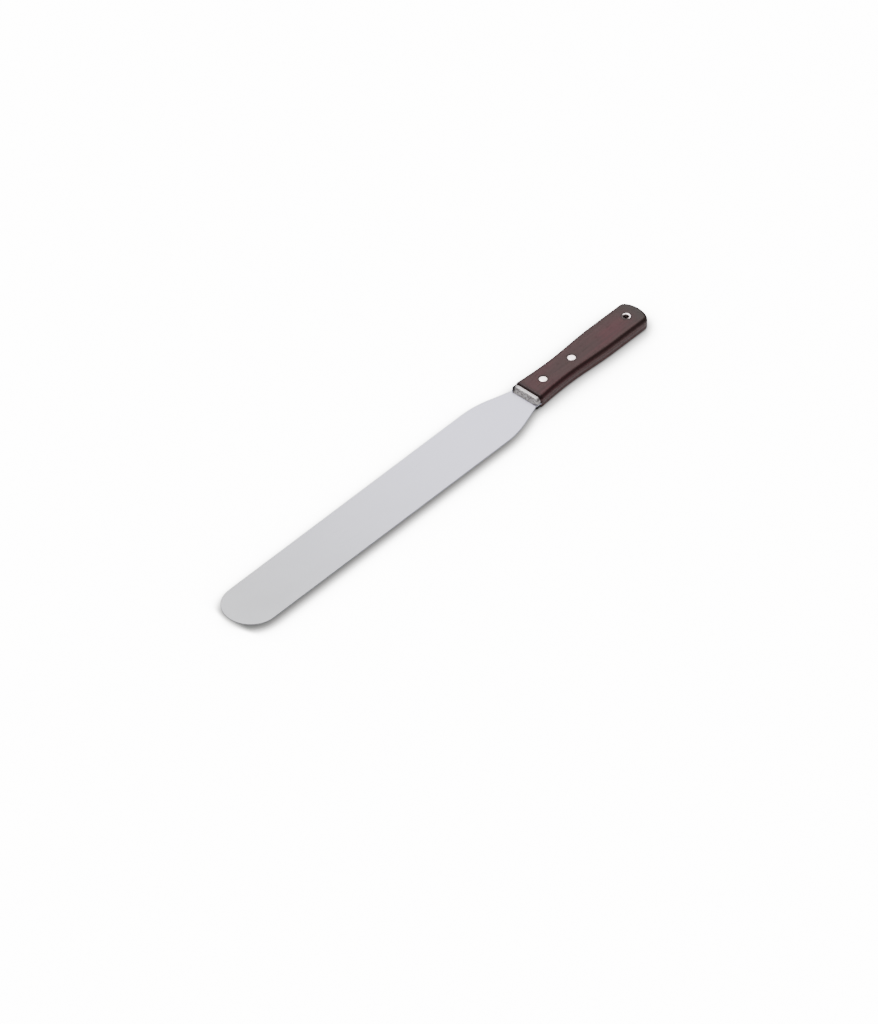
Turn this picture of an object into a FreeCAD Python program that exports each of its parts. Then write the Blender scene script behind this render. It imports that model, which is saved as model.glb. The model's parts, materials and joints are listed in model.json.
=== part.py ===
import FreeCAD, Part

import math
import os

# Straight icing spatula lying flat, in millimetres.
# Origin: centre of the hanging hole, on the blade's mid-plane.
# +X runs from the hanging hole to the blade's tip, +Y across the blade, +Z out of the upper scale.

# Places along X, from the hanging hole
BUTT_X = -13.7
SWELL_X = -6.4
BELLY_X = 26.0
REAR_RIVET_X = 57.6
WAIST_X = 70.0
FRONT_RIVET_X = 87.5
SCALE_FRONT_X = 103.8
BOLSTER_FRONT_X = 108.4
EXPOSED_BLADE = 304.8

# Blade
BLADE_THICKNESS = 1.0
BLADE_WIDTH = 42.2
SHOULDER_LENGTH = 29.0
SHOULDER_RADIUS = 75.0
BLADE_EDGE_RADIUS = 0.25

# Handle: half-widths at its front, at its waist, and from its belly back to its swell
HANDLE_THICKNESS = 10.9
FRONT_HALF_WIDTH = 12.65
WAIST_HALF_WIDTH = 11.0
SWELL_HALF_WIDTH = 12.7
SCALE_EDGE_RADIUS = 3.0
SCALE_FRONT_RADIUS = 2.6

# Bolsters: a step below the scales, flat on top, steep in front down to a low toe on the blade
BOLSTER_STEP = 0.55
BOLSTER_TOP_LENGTH = 2.3
BOLSTER_TOE_HEIGHT = 0.5
BOLSTER_EDGE_RADIUS = 2.8
BOLSTER_CORNER_RADIUS = 3.0
BOLSTER_RIM_RADIUS = 0.9

# Cutler's rivets: a headed pin pressed into a headed tube
RIVET_HEAD_RADIUS = 2.9
RIVET_HEAD_THICKNESS = 1.5
RIVET_DOME_HEIGHT = 0.3
RIVET_TUBE_RADIUS = 2.1
RIVET_PIN_RADIUS = 1.45
RIVET_END_GAP = 0.5
COUNTERBORE_CLEARANCE = 0.1

# Hanging hole
HANG_BORE_RADIUS = 2.0
HANG_TUBE_WALL = 0.5
HANG_FLARE = 0.8
HANG_LIP_RADIUS = 3.1

# Worked out from the above
HALF_BLADE = BLADE_THICKNESS / 2
HALF_HANDLE = HANDLE_THICKNESS / 2
HALF_BLADE_WIDTH = BLADE_WIDTH / 2
TIP_X = BOLSTER_FRONT_X + EXPOSED_BLADE
BOLSTER_HALF_WIDTH = FRONT_HALF_WIDTH - BOLSTER_STEP
BOLSTER_TOP = HALF_HANDLE - BOLSTER_STEP
HANG_TUBE_RADIUS = HANG_BORE_RADIUS + HANG_TUBE_WALL
RIVET_SEAT_Z = HALF_HANDLE - RIVET_HEAD_THICKNESS
RIVET_TUBE_REACH = RIVET_SEAT_Z - RIVET_END_GAP
RIVET_PIN_REACH = RIVET_TUBE_REACH - RIVET_END_GAP
RIVETS = {"rear": REAR_RIVET_X, "front": FRONT_RIVET_X}

TOUCHING = 1e-6


def at(x, y=0.0, z=0.0):
    return FreeCAD.Vector(x, y, z)


def other_side(shape):
    """The shape mirrored across the handle's long axis."""
    return shape.mirror(at(0), at(0, 1))


def underneath(shape):
    """The shape mirrored to the blade's other face."""
    return shape.mirror(at(0), at(0, 0, 1))


def face_of(edges):
    return Part.Face(Part.Wire(Part.__sortEdges__(edges)))


def outline_face(side, square_x, half_width):
    """Face between one side of an outline, its mirror image, and the square end they share."""
    square_end = Part.makeLine(at(square_x, half_width), at(square_x, -half_width))
    return face_of(side + [other_side(edge) for edge in side] + [square_end])


def raised(face, bottom, top):
    """A slab with the face's outline between two heights."""
    return face.translated(at(0, 0, bottom)).extrude(at(0, 0, top - bottom))


def along_x(edge):
    return edge.BoundBox.XLength > BLADE_THICKNESS


def at_height(edge, z):
    return abs(edge.BoundBox.ZMin - z) < TOUCHING and abs(edge.BoundBox.ZMax - z) < TOUCHING


def at_front(edge, x):
    return abs(edge.BoundBox.XMin - x) < TOUCHING and abs(edge.BoundBox.XMax - x) < TOUCHING


def is_sloping(face):
    normal = face.normalAt(0, 0)
    return face.Surface.TypeId == "Part::GeomPlane" and normal.x > TOUCHING and normal.z > TOUCHING


def rounded_corner(corner, way_in, way_out, radius):
    """An arc that rounds a corner between two directions, between its start and end points."""
    half_turn = way_in.getAngle(way_out) / 2
    reach = radius * math.tan(half_turn)
    start = corner - way_in * reach
    end = corner + way_out * reach
    inward = (way_out - way_in).normalize()
    middle = corner + inward * (radius / math.cos(half_turn) - radius)
    return start, Part.Arc(start, middle, end).toShape(), end


def grip_side():
    """One side of the scales' outline: flared front, waist, straight belly and rounded butt."""
    belly = at(BELLY_X, SWELL_HALF_WIDTH)
    swell = at(SWELL_X, SWELL_HALF_WIDTH)
    stations = [at(SCALE_FRONT_X, FRONT_HALF_WIDTH), at(WAIST_X, WAIST_HALF_WIDTH), belly]
    flank = Part.BSplineCurve()
    flank.interpolate(Points=stations, Tangents=[at(-1)] * 3, TangentFlags=[False, True, True])
    butt = Part.Ellipse(swell, at(BUTT_X), at(SWELL_X))
    ends = sorted([butt.parameter(swell), butt.parameter(at(BUTT_X))])
    quarter = Part.ArcOfEllipse(butt, *ends)
    return [flank.toShape(), Part.makeLine(belly, swell), quarter.toShape()]


def grip_slab(bottom, top):
    """The scales' outline as a slab between two heights."""
    face = outline_face(grip_side(), SCALE_FRONT_X, FRONT_HALF_WIDTH)
    return raised(face, bottom, top)


def drilled(shape, x, radius):
    return shape.cut(Part.makeCylinder(radius, HANDLE_THICKNESS, at(x, 0, -HALF_HANDLE)))


def turned(section_edges):
    """A round piece: the section, drawn beside the Z axis, turned about it."""
    return face_of(section_edges).revolve(at(0), at(0, 0, 1), 360)


def run_of_lines(points):
    return [Part.makeLine(a, b) for a, b in zip(points, points[1:])]


def exposed_blade():
    """The blade ahead of the bolsters, with its edges eased."""
    neck = at(BOLSTER_FRONT_X, BOLSTER_HALF_WIDTH)
    shoulder = at(BOLSTER_FRONT_X + SHOULDER_LENGTH, HALF_BLADE_WIDTH)
    outwards = (shoulder - neck).normalize()
    start, rounding, end = rounded_corner(shoulder, outwards, at(1), SHOULDER_RADIUS)
    tip_centre = at(TIP_X - HALF_BLADE_WIDTH)
    tip_start = tip_centre + at(0, HALF_BLADE_WIDTH)
    tip_middle = tip_centre + at(1, 1).normalize() * HALF_BLADE_WIDTH
    side = [
        Part.makeLine(neck, start),
        rounding,
        Part.makeLine(end, tip_start),
        Part.Arc(tip_start, tip_middle, at(TIP_X)).toShape(),
    ]
    face = outline_face(side, BOLSTER_FRONT_X, BOLSTER_HALF_WIDTH)
    blade = raised(face, -HALF_BLADE, HALF_BLADE)
    rims = [e for e in blade.Edges if along_x(e) and e.BoundBox.ZLength < HALF_BLADE]
    return blade.makeFillet(BLADE_EDGE_RADIUS, rims)


def bolster_block(bottom, top):
    """The bolsters' length and full width between two heights."""
    length = BOLSTER_FRONT_X - SCALE_FRONT_X
    corner = at(SCALE_FRONT_X, -BOLSTER_HALF_WIDTH, bottom)
    return Part.makeBox(length, 2 * BOLSTER_HALF_WIDTH, top - bottom, corner)


def make_blade():
    """Exposed blade and full tang in one piece, drilled for the rivets and the hanging tube."""
    neck = bolster_block(-HALF_BLADE, HALF_BLADE)
    tang = grip_slab(-HALF_BLADE, HALF_BLADE)
    strip = exposed_blade().fuse([neck, tang]).removeSplitter()
    for x in RIVETS.values():
        strip = drilled(strip, x, RIVET_TUBE_RADIUS)
    return drilled(strip, 0, HANG_TUBE_RADIUS)


def hang_tube_outside():
    """Section edges of the hanging tube's outer wall, from mid-height up to its lip."""
    bend_centre = at(HANG_BORE_RADIUS + HANG_FLARE, 0, HALF_HANDLE - HANG_FLARE)
    bend = HANG_FLARE - HANG_TUBE_WALL
    bend_start = bend_centre + at(-bend)
    bend_end = bend_centre + at(0, 0, bend)
    bend_middle = bend_centre + at(-1, 0, 1).normalize() * bend
    lip_end = at(HANG_LIP_RADIUS, 0, bend_end.z)
    wall = Part.makeLine(at(HANG_TUBE_RADIUS), bend_start)
    arc = Part.Arc(bend_start, bend_middle, bend_end).toShape()
    return [wall, arc] + run_of_lines([bend_end, lip_end, at(HANG_LIP_RADIUS, 0, HALF_HANDLE)])


def hang_tube_seat():
    """Everything inside the hanging tube's outer wall, above the blade's mid-plane."""
    lip_top = at(HANG_LIP_RADIUS, 0, HALF_HANDLE)
    closing = [lip_top, at(0, 0, HALF_HANDLE), at(0), at(HANG_TUBE_RADIUS)]
    return turned(hang_tube_outside() + run_of_lines(closing))


def make_hang_tube():
    """Tubular rivet through the handle, both ends flared by a quarter-round."""
    bend_centre = at(HANG_BORE_RADIUS + HANG_FLARE, 0, HALF_HANDLE - HANG_FLARE)
    bend_start = bend_centre + at(-HANG_FLARE)
    bend_middle = bend_centre + at(-1, 0, 1).normalize() * HANG_FLARE
    bend_end = bend_centre + at(0, 0, HANG_FLARE)
    inside = [
        Part.makeLine(at(HANG_LIP_RADIUS, 0, HALF_HANDLE), bend_end),
        Part.Arc(bend_end, bend_middle, bend_start).toShape(),
    ]
    inside += run_of_lines([bend_start, at(HANG_BORE_RADIUS), at(HANG_TUBE_RADIUS)])
    half = turned(hang_tube_outside() + inside)
    return half.fuse(underneath(half)).removeSplitter()


def make_scale():
    """Upper wood scale: rounded all round its top, seated for the rivets and the hanging tube."""
    slab = grip_slab(HALF_BLADE, HALF_HANDLE)
    sides = [e for e in slab.Edges if at_height(e, HALF_HANDLE) and along_x(e)]
    wood = slab.makeFillet(SCALE_EDGE_RADIUS, sides)
    front = [e for e in wood.Edges if at_front(e, SCALE_FRONT_X)]
    rims = [e for e in front if e.BoundBox.ZMax > BOLSTER_TOP]
    wood = wood.makeFillet(SCALE_FRONT_RADIUS, rims)
    seat_radius = RIVET_HEAD_RADIUS + COUNTERBORE_CLEARANCE
    for x in RIVETS.values():
        seat = Part.makeCylinder(seat_radius, RIVET_HEAD_THICKNESS, at(x, 0, RIVET_SEAT_Z))
        wood = drilled(wood, x, RIVET_TUBE_RADIUS).cut(seat)
    return wood.cut(hang_tube_seat())


def bolster_profile():
    """Side view of the upper bolster: back, top, steep front and toe."""
    back_foot = at(SCALE_FRONT_X, 0, HALF_BLADE)
    corners = [
        back_foot,
        at(SCALE_FRONT_X, 0, BOLSTER_TOP),
        at(SCALE_FRONT_X + BOLSTER_TOP_LENGTH, 0, BOLSTER_TOP),
        at(BOLSTER_FRONT_X, 0, HALF_BLADE + BOLSTER_TOE_HEIGHT),
        at(BOLSTER_FRONT_X, 0, HALF_BLADE),
        back_foot,
    ]
    return Part.Face(Part.makePolygon(corners))


def make_bolster():
    """Upper bolster: a steep-fronted block with rounded shoulders and corners and an eased rim."""
    wedge = bolster_profile().extrude(at(0, 2 * BOLSTER_HALF_WIDTH))
    wedge.translate(at(0, -BOLSTER_HALF_WIDTH))
    block = bolster_block(0, BOLSTER_TOP)
    shoulders = [e for e in block.Edges if at_height(e, BOLSTER_TOP) and along_x(e)]
    front = [e for e in block.Edges if at_front(e, BOLSTER_FRONT_X)]
    uprights = [e for e in front if e.BoundBox.YLength < HALF_BLADE]
    shouldered = block.makeFillet(BOLSTER_EDGE_RADIUS, shoulders)
    cornered = block.makeFillet(BOLSTER_CORNER_RADIUS, uprights)
    bolster = wedge.common(shouldered).common(cornered).removeSplitter()
    toe_z = HALF_BLADE + BOLSTER_TOE_HEIGHT
    slope = next(f for f in bolster.Faces if f.BoundBox.ZMin > HALF_BLADE and is_sloping(f))
    rims = [e for e in slope.Edges if e.BoundBox.ZMax > toe_z + BOLSTER_RIM_RADIUS]
    return bolster.makeFillet(BOLSTER_RIM_RADIUS, rims)


def rivet_head():
    """Section edges of an upper rivet head, from the axis over the dome to the head's underside."""
    dome_edge = at(RIVET_HEAD_RADIUS, 0, HALF_HANDLE - RIVET_DOME_HEIGHT)
    dome_radius = (RIVET_HEAD_RADIUS**2 + RIVET_DOME_HEIGHT**2) / (2 * RIVET_DOME_HEIGHT)
    half_reach = RIVET_HEAD_RADIUS / 2
    half_drop = dome_radius - math.sqrt(dome_radius**2 - half_reach**2)
    crown = at(0, 0, HALF_HANDLE)
    dome = Part.Arc(crown, at(half_reach, 0, HALF_HANDLE - half_drop), dome_edge).toShape()
    return [dome, Part.makeLine(dome_edge, at(RIVET_HEAD_RADIUS, 0, RIVET_SEAT_Z))]


def make_rivet_tube():
    """Headed tube, put in from above, with a blind bore for the pin."""
    wall = [
        at(RIVET_HEAD_RADIUS, 0, RIVET_SEAT_Z),
        at(RIVET_TUBE_RADIUS, 0, RIVET_SEAT_Z),
        at(RIVET_TUBE_RADIUS, 0, -RIVET_TUBE_REACH),
        at(RIVET_PIN_RADIUS, 0, -RIVET_TUBE_REACH),
        at(RIVET_PIN_RADIUS, 0, RIVET_TUBE_REACH),
        at(0, 0, RIVET_TUBE_REACH),
        at(0, 0, HALF_HANDLE),
    ]
    return turned(rivet_head() + run_of_lines(wall))


def make_rivet_pin():
    """Headed pin, pressed into the tube from below."""
    shank = [
        at(RIVET_HEAD_RADIUS, 0, RIVET_SEAT_Z),
        at(RIVET_PIN_RADIUS, 0, RIVET_SEAT_Z),
        at(RIVET_PIN_RADIUS, 0, -RIVET_PIN_REACH),
        at(0, 0, -RIVET_PIN_REACH),
        at(0, 0, HALF_HANDLE),
    ]
    return underneath(turned(rivet_head() + run_of_lines(shank)))


def all_parts():
    scale = make_scale()
    bolster = make_bolster()
    parts = {
        "blade": make_blade(),
        "upper_scale": scale,
        "lower_scale": underneath(scale),
        "bolster_upper": bolster,
        "bolster_lower": underneath(bolster),
        "hang_tube": make_hang_tube(),
    }
    for name, x in RIVETS.items():
        parts[name + "_rivet_tube"] = make_rivet_tube().translated(at(x))
        parts[name + "_rivet_pin"] = make_rivet_pin().translated(at(x))
    return parts


os.makedirs("parts", exist_ok=True)
for node, shape in all_parts().items():
    shape.exportStep("parts/" + node + ".step")
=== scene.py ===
import json
import math

import bmesh
import bpy
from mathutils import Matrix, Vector, noise

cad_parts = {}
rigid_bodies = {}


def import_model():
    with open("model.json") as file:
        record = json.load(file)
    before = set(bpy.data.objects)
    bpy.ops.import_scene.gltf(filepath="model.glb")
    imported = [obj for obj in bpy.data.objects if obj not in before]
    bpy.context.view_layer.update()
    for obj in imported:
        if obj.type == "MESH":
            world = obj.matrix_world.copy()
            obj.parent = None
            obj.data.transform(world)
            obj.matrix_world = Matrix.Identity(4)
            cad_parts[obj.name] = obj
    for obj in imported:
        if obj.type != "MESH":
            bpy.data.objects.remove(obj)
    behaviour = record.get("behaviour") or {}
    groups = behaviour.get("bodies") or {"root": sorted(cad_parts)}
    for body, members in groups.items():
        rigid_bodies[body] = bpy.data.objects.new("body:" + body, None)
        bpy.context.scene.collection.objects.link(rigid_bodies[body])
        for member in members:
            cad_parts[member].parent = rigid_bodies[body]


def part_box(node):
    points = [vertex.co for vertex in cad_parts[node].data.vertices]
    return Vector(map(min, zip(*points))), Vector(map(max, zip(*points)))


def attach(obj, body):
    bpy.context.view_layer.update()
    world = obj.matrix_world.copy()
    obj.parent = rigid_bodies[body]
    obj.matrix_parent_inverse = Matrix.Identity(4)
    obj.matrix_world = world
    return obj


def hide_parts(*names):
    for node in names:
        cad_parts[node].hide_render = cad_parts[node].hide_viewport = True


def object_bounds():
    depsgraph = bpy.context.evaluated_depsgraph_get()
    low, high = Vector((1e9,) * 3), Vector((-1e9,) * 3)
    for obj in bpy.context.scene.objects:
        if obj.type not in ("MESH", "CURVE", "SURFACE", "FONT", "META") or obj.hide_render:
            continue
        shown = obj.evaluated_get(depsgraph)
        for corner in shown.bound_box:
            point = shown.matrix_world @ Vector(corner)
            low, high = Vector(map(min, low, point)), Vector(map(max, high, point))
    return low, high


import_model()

CAD_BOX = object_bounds()

# Colours of the materials.
# Blade steel: lighter at the shoulder, with painted shade growing towards the tip.
LIT_SHOULDER_STEEL = ((0.36, 0.353, 0.422, 1), (0.41, 0.402, 0.474, 1))
SHADED_TIP_STEEL = ((0.195, 0.195, 0.203, 1), (0.225, 0.225, 0.234, 1))
TANG_STAIN = (0.1, 0.08, 0.08, 1)
RED_WOOD = ((0.05, 0.0125, 0.016, 1), (0.034, 0.0105, 0.0125, 1))
BROWN_WOOD = ((0.041, 0.017, 0.0175, 1), (0.03, 0.0135, 0.0135, 1))
LAYER_TINTS = ((0.88, 0.88, 0.88, 1), (1.14, 1.12, 1.12, 1))
FIBRE_TINTS = ((0.8, 0.8, 0.8, 1), (1.2, 1.2, 1.2, 1))
PORE = (0.009, 0.004, 0.004, 1)
WORN_BUTT = (0.02, 0.019, 0.017, 1)
# Painted shade on the wood's front end, where it meets the bolster.
PAINTED_SHADE_FRONT_END = (0.014, 0.004, 0.005, 1)
PAINTED_SHADE_ROUND_METAL = (0.012, 0.005, 0.005, 1)
# Painted shade on the wood's rounded edges.
PAINTED_SHADE_EDGE = (0.008, 0.003, 0.003, 1)
# Painted light on the wood's flanks.
PAINTED_LIGHT_FLANK = (0.09, 0.046, 0.047, 1)
BOLSTER_RIM = (0.27, 0.252, 0.255, 1)
BOLSTER_CAST = (0.5, 0.48, 0.48, 1)
BOLSTER_GRIME = (0.18, 0.16, 0.16, 1)
# Painted shade on the bolsters' lower half and far side.
PAINTED_SHADE_STEEL = (0.02, 0.017, 0.017, 1)
RIVET_METAL = (1.0, 0.86, 0.845, 1)
EYELET_METAL = (0.9, 0.78, 0.77, 1)
# Painted shade on the rivet heads' domed edges.
PAINTED_SHADE_RIM = (0.3, 0.25, 0.25, 1)
# Painted shade on one side of the eyelet.
PAINTED_SHADE_EYELET = (0.05, 0.04, 0.04, 1)

# Radii of the painted shade rings in the wood round each fastener, m.
SHADE_RING_REACH = {"front_rivet_pin": 0.0042, "rear_rivet_pin": 0.0042, "hang_tube": 0.0044}

# The camera: far away with a long lens, so the blade's sides stay parallel in the picture.
CAMERA_ELEVATION = math.radians(42.5)
CAMERA_AZIMUTH = math.radians(48.12)      # turned from +Y towards the tip
LENS = 1.0                                # focal length, m
SENSOR = 0.036                            # long side of the sensor, m
PICTURE_HEIGHT = 0.7127                   # height of the picture at the object, m
AIM_OFFSET = Vector((0.03475, 0.034, 0))  # from the middle of the object

# The bolsters' cast face.
VOXEL = 0.00014
PIT_SPACING = 0.0011
PIT_DEPTH = 0.00022
SHALLOW_PIT = 0.35
GRIT_SPACING = 0.00045
GRIT_DEPTH = 0.00004

# Brightness of the floor to the camera, by how much of the sky each point of it sees.
FLOOR_WHITE = 15.0
FLOOR_HALF_SIZE = 40.0
SHADE_REACH = 0.12
TIP_OPENING = 0.007                       # how far back the lighter shade round the tip begins, m
FLOOR_RESPONSE = ((0.1, 0.005), (0.3, 0.024), (0.43, 0.041), (0.5, 0.058), (0.583, 0.089),
                  (0.66, 0.137), (0.73, 0.207), (0.784, 0.34), (0.827, 0.51), (0.86, 0.67),
                  (0.905, 0.87), (1.0, 1.0))


def add(tree, kind, inputs=None, **settings):
    """A shader node whose inputs are set to a value, or wired from another node's output."""
    made = tree.nodes.new("ShaderNode" + kind)
    for name, value in settings.items():
        setattr(made, name, value)
    for name, value in (inputs or {}).items():
        if isinstance(value, bpy.types.NodeSocket):
            tree.links.new(value, made.inputs[name])
        else:
            made.inputs[name].default_value = value
    return made


def calc(tree, operation, a, b=0.0, clamp=False):
    """The output of a Math node."""
    made = add(tree, "Math", {0: a, 1: b}, operation=operation)
    made.use_clamp = clamp
    return made.outputs[0]


def blend(tree, factor, a, b):
    """The output of a node that mixes two colours."""
    made = add(tree, "Mix", {0: factor, 6: a, 7: b}, data_type="RGBA")
    return made.outputs[2]


def multiply(tree, a, b):
    """The output of a node that multiplies two colours."""
    made = add(tree, "Mix", {0: 1.0, 6: a, 7: b}, data_type="RGBA")
    made.blend_type = "MULTIPLY"
    return made.outputs[2]


def spread(tree, value, low, high, new_low=0.0, new_high=1.0):
    """A value from low to high, stretched smoothly to the new limits."""
    inputs = {0: value, 1: low, 2: high, 3: new_low, 4: new_high}
    return add(tree, "MapRange", inputs, interpolation_type="SMOOTHSTEP").outputs[0]


def place(tree):
    """The point on the object, in metres."""
    return add(tree, "TexCoord").outputs["Object"]


def along(tree, point):
    """How far along X a point lies."""
    return add(tree, "SeparateXYZ", {0: point}).outputs[0]


def upright(tree):
    """1 where the surface faces straight up or down, 0 where it faces sideways."""
    normal = add(tree, "NewGeometry").outputs["Normal"]
    return calc(tree, "ABSOLUTE", add(tree, "SeparateXYZ", {0: normal}).outputs[2])


def streaks(tree, point, per_metre, detail=2.0, roughness=0.5):
    """Noise with its own number of features per metre along X, Y and Z."""
    scaled = add(tree, "VectorMath", {0: point, 1: per_metre}, operation="MULTIPLY")
    inputs = {"Vector": scaled.outputs[0], "Scale": 1.0, "Detail": detail,
              "Roughness": roughness}
    return add(tree, "TexNoise", inputs).outputs[0]


def ring_distance(tree, point, centre):
    """How far the point is from an upright line through the centre."""
    flat = add(tree, "VectorMath", {0: point, 1: (1, 1, 0)}, operation="MULTIPLY")
    inputs = {0: flat.outputs[0], 1: (centre.x, centre.y, 0)}
    return add(tree, "VectorMath", inputs, operation="DISTANCE").outputs[1]


def new_material(name):
    """An empty material with its Principled shader wired up."""
    made = bpy.data.materials.new(name)
    made.use_nodes = True
    tree = made.node_tree
    tree.nodes.clear()
    shader = add(tree, "BsdfPrincipled")
    add(tree, "OutputMaterial", {0: shader.outputs[0]})
    return made, tree, shader


def wire(tree, shader, **sockets):
    """Wires node outputs into the Principled shader."""
    for name, source in sockets.items():
        tree.links.new(source, shader.inputs[name.replace("_", " ")])


def bump(tree, height, depth, strength=1.0):
    """A bump as deep as depth, in metres, where the height is 1."""
    inputs = {"Height": height, "Distance": depth, "Strength": strength}
    return add(tree, "Bump", inputs).outputs[0]


def middle(name):
    """The middle of a CAD node's box."""
    low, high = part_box(name)
    return (Vector(low) + Vector(high)) / 2


def blade_steel():
    """Satin steel, ground lengthwise, with faint smears and scratches, and painted shade that
    darkens it from the shoulder to the tip; the tang is stained.
    """
    made, tree, shader = new_material("ground_blade_steel")
    point = place(tree)
    grinding = streaks(tree, point, (18, 2600, 2600), detail=3)
    scratches = streaks(tree, point, (900, 70, 900), detail=4)
    smears = streaks(tree, point, (22, 40, 40), detail=3)
    tone = calc(tree, "ADD", calc(tree, "MULTIPLY", grinding, 0.6),
                calc(tree, "MULTIPLY", smears, 0.4))
    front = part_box("upper_scale")[1][0]
    # Painted shade: the steel darkens from the shoulder towards the tip.
    shade_towards_tip = spread(tree, along(tree, point), front, CAD_BOX[1].x)
    darker = blend(tree, shade_towards_tip, LIT_SHOULDER_STEEL[0], SHADED_TIP_STEEL[0])
    bright = blend(tree, shade_towards_tip, LIT_SHOULDER_STEEL[1], SHADED_TIP_STEEL[1])
    colour = blend(tree, tone, darker, bright)
    rough = calc(tree, "ADD", spread(tree, grinding, 0.2, 0.8, 0.26, 0.36),
                 spread(tree, smears, 0.35, 0.7, 0.0, 0.06))
    tang = spread(tree, along(tree, point), front - 0.0005, front, 1.0, 0.0)
    colour = blend(tree, tang, colour, TANG_STAIN)
    rough = calc(tree, "MAXIMUM", rough, calc(tree, "MULTIPLY", tang, 0.5))
    height = calc(tree, "ADD", grinding, calc(tree, "MULTIPLY", scratches, 0.35))
    shader.inputs["Metallic"].default_value = 1.0
    wire(tree, shader, Base_Color=colour, Roughness=rough,
         Normal=bump(tree, height, 0.000004))
    return made


def wood_grain(tree, point):
    """Colour of clean laminated wood, with the noises it is made from: fibre, pores and patches."""
    bend = streaks(tree, point, (9, 30, 30), detail=1)
    shift = add(tree, "CombineXYZ", {1: calc(tree, "MULTIPLY", bend, 0.006)}).outputs[0]
    bent = add(tree, "VectorMath", {0: point, 1: shift}, operation="ADD").outputs[0]
    figure = spread(tree, streaks(tree, bent, (14, 330, 330), detail=4, roughness=0.6), 0.3, 0.7)
    fibre = streaks(tree, bent, (60, 2100, 2100), detail=3)
    pores = spread(tree, streaks(tree, bent, (150, 1500, 1500), detail=2), 0.6, 0.72)
    layers = streaks(tree, point, (1.5, 1.5, 1250), detail=1)
    patches = streaks(tree, point, (26, 55, 55), detail=2)

    red = blend(tree, figure, *RED_WOOD)
    brown = blend(tree, figure, *BROWN_WOOD)
    colour = blend(tree, spread(tree, patches, 0.38, 0.62), red, brown)
    colour = multiply(tree, colour, blend(tree, spread(tree, layers, 0.35, 0.65), *LAYER_TINTS))
    colour = multiply(tree, colour, blend(tree, fibre, *FIBRE_TINTS))
    colour = blend(tree, calc(tree, "MULTIPLY", pores, 0.45), colour, PORE)
    return colour, fibre, pores, patches


def worn_and_shaded(tree, point, colour):
    """The wood's colour, worn at the butt, with painted shade at the front end and painted shade
    rings round the metal.
    """
    place_along = along(tree, point)
    butt = CAD_BOX[0].x
    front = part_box("upper_scale")[1][0]
    worn = calc(tree, "MULTIPLY", spread(tree, place_along, butt, butt + 0.022, 1.0, 0.0), 0.85)
    colour = blend(tree, worn, colour, WORN_BUTT)
    # Painted shade on the front end of the wood, next to the bolster.
    dark = spread(tree, place_along, front - 0.005, front - 0.0015, 0.0, 0.8)
    colour = blend(tree, dark, colour, PAINTED_SHADE_FRONT_END)
    # Painted shade: a dark ring in the wood round each rivet and the eyelet.
    for metal, reach in SHADE_RING_REACH.items():
        near = ring_distance(tree, point, middle(metal))
        ring_shade = spread(tree, near, reach - 0.001, reach + 0.0003, 0.9, 0.0)
        colour = blend(tree, ring_shade, colour, PAINTED_SHADE_ROUND_METAL)
    return colour


def handle_wood():
    """Dark red laminated wood under lacquer, with painted shade on its rounded edges and painted
    light on its flanks.
    """
    made, tree, shader = new_material("lacquered_red_wood")
    point = place(tree)
    colour, fibre, pores, patches = wood_grain(tree, point)
    colour = worn_and_shaded(tree, point, colour)
    facing_up = upright(tree)
    # Painted shade on the rounded edges between top and flank.
    edge = calc(tree, "MULTIPLY", spread(tree, facing_up, 0.9, 0.99, 1.0, 0.0),
                spread(tree, facing_up, 0.4, 0.75))
    colour = blend(tree, calc(tree, "MULTIPLY", edge, 0.75), colour, PAINTED_SHADE_EDGE)
    # Painted light: the flanks made paler in patches, standing in for light from the floor.
    flank = calc(tree, "MULTIPLY", spread(tree, facing_up, 0.05, 0.4, 0.75, 0.0), patches)
    colour = blend(tree, calc(tree, "MULTIPLY", flank, 1.6, clamp=True), colour, PAINTED_LIGHT_FLANK)

    height = calc(tree, "SUBTRACT", calc(tree, "MULTIPLY", fibre, 0.3), pores)
    rough = calc(tree, "ADD", spread(tree, patches, 0.3, 0.7, 0.3, 0.38),
                 calc(tree, "MULTIPLY", pores, 0.15))
    rough = calc(tree, "ADD", rough, calc(tree, "MULTIPLY", edge, 0.4))
    shader.inputs["Specular IOR Level"].default_value = 0.09
    shader.inputs["Coat Weight"].default_value = 0.05
    shader.inputs["Coat Roughness"].default_value = 0.14
    wire(tree, shader, Base_Color=colour, Roughness=rough, Normal=bump(tree, height, 0.00002))
    return made


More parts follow.
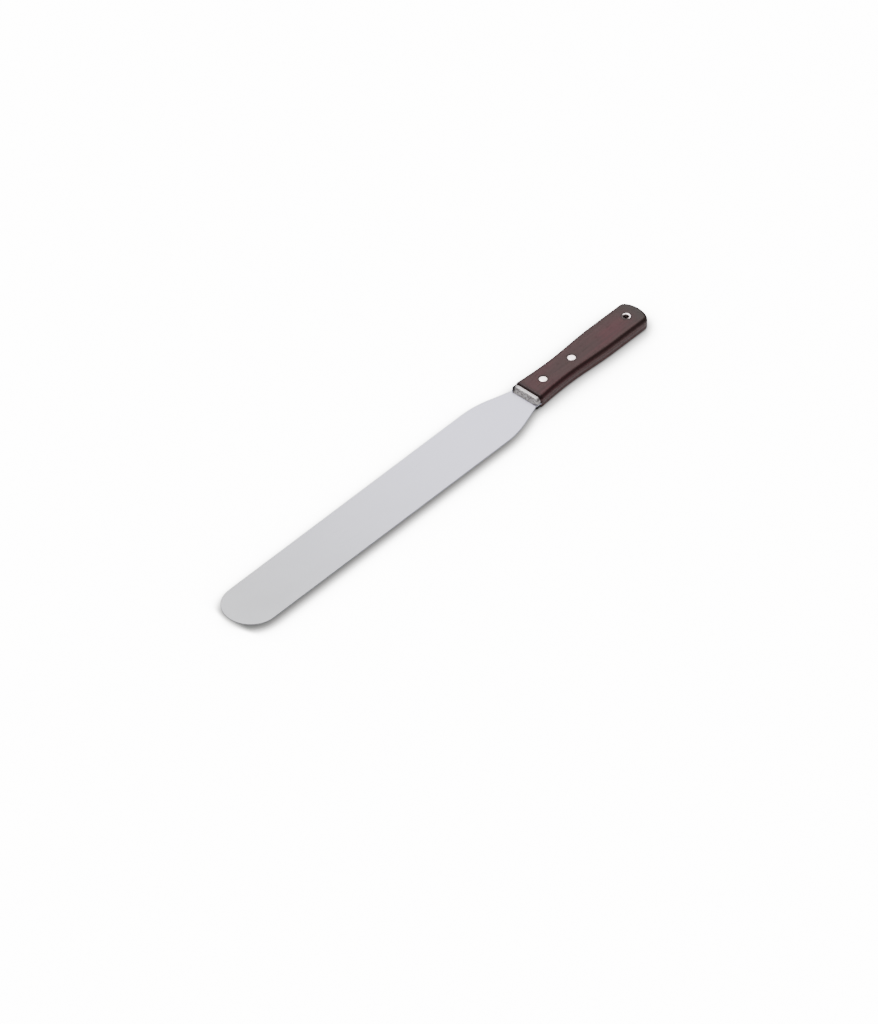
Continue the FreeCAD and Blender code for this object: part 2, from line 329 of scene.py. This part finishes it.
def bolster_steel():
    """Cast steel: polished rim, gritty pitted front, and painted shade below the blade's plane and
    on the far side.
    """
    made, tree, shader = new_material("cast_bolster_steel")
    point = place(tree)
    normal = add(tree, "NewGeometry").outputs["Normal"]
    facing_front = add(tree, "SeparateXYZ", {0: normal}).outputs[0]
    cast = spread(tree, facing_front, 0.35, 0.6)
    grit = streaks(tree, point, (2300, 2300, 2300), detail=4, roughness=0.65)
    grime_and_shade = spread(tree, streaks(tree, point, (950, 950, 950), detail=2), 0.47, 0.6)
    dark = calc(tree, "MULTIPLY", grime_and_shade, calc(tree, "MULTIPLY", cast, 0.85))
    clean = blend(tree, cast, BOLSTER_RIM, BOLSTER_CAST)
    colour = blend(tree, dark, clean, BOLSTER_GRIME)
    _, across, up = add(tree, "SeparateXYZ", {0: point}).outputs
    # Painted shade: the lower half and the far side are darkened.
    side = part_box("bolster_upper")[0][1]
    below = spread(tree, up, -0.0004, 0.0004, 1.0, 0.0)
    far = spread(tree, across, side + 0.0015, side + 0.005, 1.0, 0.0)
    colour = blend(tree, calc(tree, "MAXIMUM", below, far), colour, PAINTED_SHADE_STEEL)
    rough = calc(tree, "ADD", spread(tree, cast, 0.0, 1.0, 0.26, 0.42),
                 calc(tree, "MULTIPLY", grit, 0.08))
    height = calc(tree, "MULTIPLY", grit, calc(tree, "ADD", cast, 0.06))
    shader.inputs["Metallic"].default_value = 1.0
    wire(tree, shader, Base_Color=colour, Roughness=rough, Normal=bump(tree, height, 0.00006))
    return made


def polished_metal(name, colour, roughness, grime_and_shade=None, rim=None):
    """Bright metal with fine scratches. It may take painted shade that grows from one place along X
    to another, and painted shade where the surface faces up by less than rim."""
    made, tree, shader = new_material(name)
    point = place(tree)
    fine = streaks(tree, point, (5200, 900, 2500), detail=3)
    across = streaks(tree, point, (800, 4700, 2500), detail=3)
    worn = calc(tree, "MULTIPLY", fine, across)
    tint = blend(tree, worn, colour, tuple(0.9 * c for c in colour[:3]) + (1,))
    if grime_and_shade:
        # Painted shade: the eyelet darkens beyond a place along X.
        tint = blend(tree, spread(tree, along(tree, point), *grime_and_shade), tint, PAINTED_SHADE_EYELET)
    if rim:
        # Painted shade on the dome's edge, round the rivet's highlight.
        darker = spread(tree, upright(tree), rim - 0.008, rim + 0.004, 1.0, 0.0)
        tint = blend(tree, darker, tint, PAINTED_SHADE_RIM)
    shader.inputs["Metallic"].default_value = 1.0
    wire(tree, shader, Base_Color=tint,
         Roughness=spread(tree, worn, 0.1, 0.5, roughness, roughness + 0.1),
         Normal=bump(tree, worn, 0.000006))
    return made


def ramp(value, low, high):
    """0 at low, 1 at high, and straight in between."""
    return min(max((value - low) / (high - low), 0.0), 1.0)


def cast_face(point, normal):
    """How far a point of a bolster's steep front sinks into it."""
    cast = ramp(normal.x, 0.4, 0.6) * ramp(abs(normal.z), 0.2, 0.4)
    distances, centres = noise.voronoi(point / PIT_SPACING)
    pit = 1.0 - ramp(distances[0], 0.12, 0.42)
    if noise.cell(centres[0]) <= 0.0:
        pit *= SHALLOW_PIT
    grit = 0.5 + 0.5 * noise.noise(point / GRIT_SPACING)
    return cast * (PIT_DEPTH * pit + GRIT_DEPTH * grit)


def bolster(name):
    """A bolster half with the CAD half's shape, and pits cast into its steep front."""
    source = bpy.data.objects[name]
    piece = bpy.data.objects.new(name + "_cast", source.data.copy())
    bpy.context.scene.collection.objects.link(piece)
    remesh = piece.modifiers.new("remesh", "REMESH")
    remesh.mode = "VOXEL"
    remesh.voxel_size = VOXEL
    bpy.context.view_layer.update()
    evaluated = piece.evaluated_get(bpy.context.evaluated_depsgraph_get())
    shaped = bpy.data.meshes.new_from_object(evaluated)
    piece.modifiers.clear()
    piece.data = shaped
    mesh = bmesh.new()
    mesh.from_mesh(shaped)
    for _ in range(2):
        bmesh.ops.smooth_vert(mesh, verts=mesh.verts, factor=0.5,
                              use_axis_x=True, use_axis_y=True, use_axis_z=True)
    mesh.normal_update()
    sinks = [(vert, vert.normal * cast_face(vert.co, vert.normal)) for vert in mesh.verts]
    for vert, sink in sinks:
        vert.co -= sink
    for face in mesh.faces:
        face.smooth = True
    mesh.to_mesh(shaped)
    mesh.free()
    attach(piece, "root")
    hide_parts(name)
    return piece


def finish_nodes():
    """Gives every slot of every CAD node, and the cast bolsters, its own finish."""
    finishes = {
        "blade_steel": blade_steel(),
        "handle_wood": handle_wood(),
        "bolster_steel": bolster_steel(),
        "rivet_metal": polished_metal("polished_rivet", RIVET_METAL, 0.14, rim=0.987),
        "tube_metal": polished_metal("polished_eyelet", EYELET_METAL, 0.2,
                                     grime_and_shade=(-0.0008, 0.0012)),
    }
    for thing in bpy.data.objects:
        if thing.type != "MESH":
            continue
        for slot in thing.material_slots:
            stem = slot.material.name.split(".")[0] if slot.material else ""
            if stem in finishes:
                slot.material = finishes[stem]


def floor():
    """A pale table. The camera sees its soft contact shade, and the object sees matt white."""
    made = bpy.data.materials.new("pale_floor")
    made.use_nodes = True
    tree = made.node_tree
    tree.nodes.clear()
    matt = add(tree, "BsdfDiffuse", {"Color": (0.82, 0.82, 0.82, 1)})
    sky = add(tree, "AmbientOcclusion", {"Distance": SHADE_REACH}, samples=24).outputs["AO"]
    tip = CAD_BOX[1].x
    opening = spread(tree, along(tree, place(tree)), tip - TIP_OPENING, tip, 0.0, 0.6)
    extra = calc(tree, "MULTIPLY", calc(tree, "SUBTRACT", 1.0, sky), opening)
    response = add(tree, "ValToRGB", {"Fac": calc(tree, "ADD", sky, extra)})
    elements = response.color_ramp.elements
    while len(elements) < len(FLOOR_RESPONSE):
        elements.new(0.5)
    for element, (seen, level) in zip(elements, FLOOR_RESPONSE):
        element.position = seen
        element.color = (level, level * 0.995, level * 0.985, 1)
    glow = add(tree, "Emission", {"Color": response.outputs[0], "Strength": FLOOR_WHITE})
    camera_ray = add(tree, "LightPath").outputs["Is Camera Ray"]
    mixed = add(tree, "MixShader", {0: camera_ray, 1: matt.outputs[0], 2: glow.outputs[0]})
    add(tree, "OutputMaterial", {0: mixed.outputs[0]})

    half = FLOOR_HALF_SIZE
    height = CAD_BOX[0].z
    mesh = bpy.data.meshes.new("floor")
    corners = [(-half, -half, height), (half, -half, height),
               (half, half, height), (-half, half, height)]
    mesh.from_pydata(corners, [], [(0, 1, 2, 3)])
    mesh.materials.append(made)
    thing = bpy.data.objects.new("floor", mesh)
    bpy.context.scene.collection.objects.link(thing)


def world():
    """Studio walls: dim near the floor and paler overhead, and white to the camera."""
    made = bpy.data.worlds.new("studio")
    made.use_nodes = True
    tree = made.node_tree
    tree.nodes.clear()
    direction = add(tree, "TexCoord").outputs["Generated"]
    height = add(tree, "SeparateXYZ", {0: direction}).outputs[2]
    walls = add(tree, "Background", {"Strength": spread(tree, height, 0.0, 1.0, 0.45, 0.85)})
    white = add(tree, "Background", {"Strength": FLOOR_WHITE})
    camera_ray = add(tree, "LightPath").outputs["Is Camera Ray"]
    mixed = add(tree, "MixShader", {0: camera_ray, 1: walls.outputs[0], 2: white.outputs[0]})
    add(tree, "OutputWorld", {0: mixed.outputs[0]})
    bpy.context.scene.world = made


def softbox(name, towards, distance, size, radiance):
    """A rectangular lamp that faces the object from the given direction."""
    lamp = bpy.data.lights.new(name, "AREA")
    lamp.shape = "RECTANGLE"
    lamp.size, lamp.size_y = size
    lamp.energy = 4 * size[0] * size[1] * radiance
    thing = bpy.data.objects.new(name, lamp)
    direction = Vector(towards).normalized()
    thing.location = object_middle() + direction * distance
    thing.rotation_euler = direction.to_track_quat("Z", "Y").to_euler()
    thing.visible_camera = False
    bpy.context.scene.collection.objects.link(thing)


def object_middle():
    """The middle of the whole object."""
    return (CAD_BOX[0] + CAD_BOX[1]) / 2


def lights():
    """A softbox behind the object, one overhead and a weak card by the tip."""
    softbox("back_softbox", (-0.549, -0.492, 0.676), 1.2, (0.95, 0.95), 2.8)
    softbox("top_softbox", (-0.05, -0.35, 1.0), 1.3, (1.0, 0.9), 6.0)
    softbox("tip_card", (0.7, -0.49, 0.5), 1.3, (0.5, 0.5), 1.6)


def camera():
    """A camera above the tip's near side, with a long lens."""
    lens = bpy.data.cameras.new("camera")
    lens.sensor_width = SENSOR * 1000
    lens.lens = LENS * 1000
    distance = PICTURE_HEIGHT * LENS / SENSOR
    lens.clip_end = distance * 3
    flat = math.cos(CAMERA_ELEVATION)
    back = Vector((math.sin(CAMERA_AZIMUTH) * flat, math.cos(CAMERA_AZIMUTH) * flat,
                   math.sin(CAMERA_ELEVATION)))
    thing = bpy.data.objects.new("camera", lens)
    thing.location = object_middle() + AIM_OFFSET + back * distance
    thing.rotation_euler = back.to_track_quat("Z", "Y").to_euler()
    bpy.context.scene.collection.objects.link(thing)
    bpy.context.scene.camera = thing


bolster("bolster_upper")
bolster("bolster_lower")
finish_nodes()
floor()
world()
lights()
camera()

bpy.context.view_layer.update()
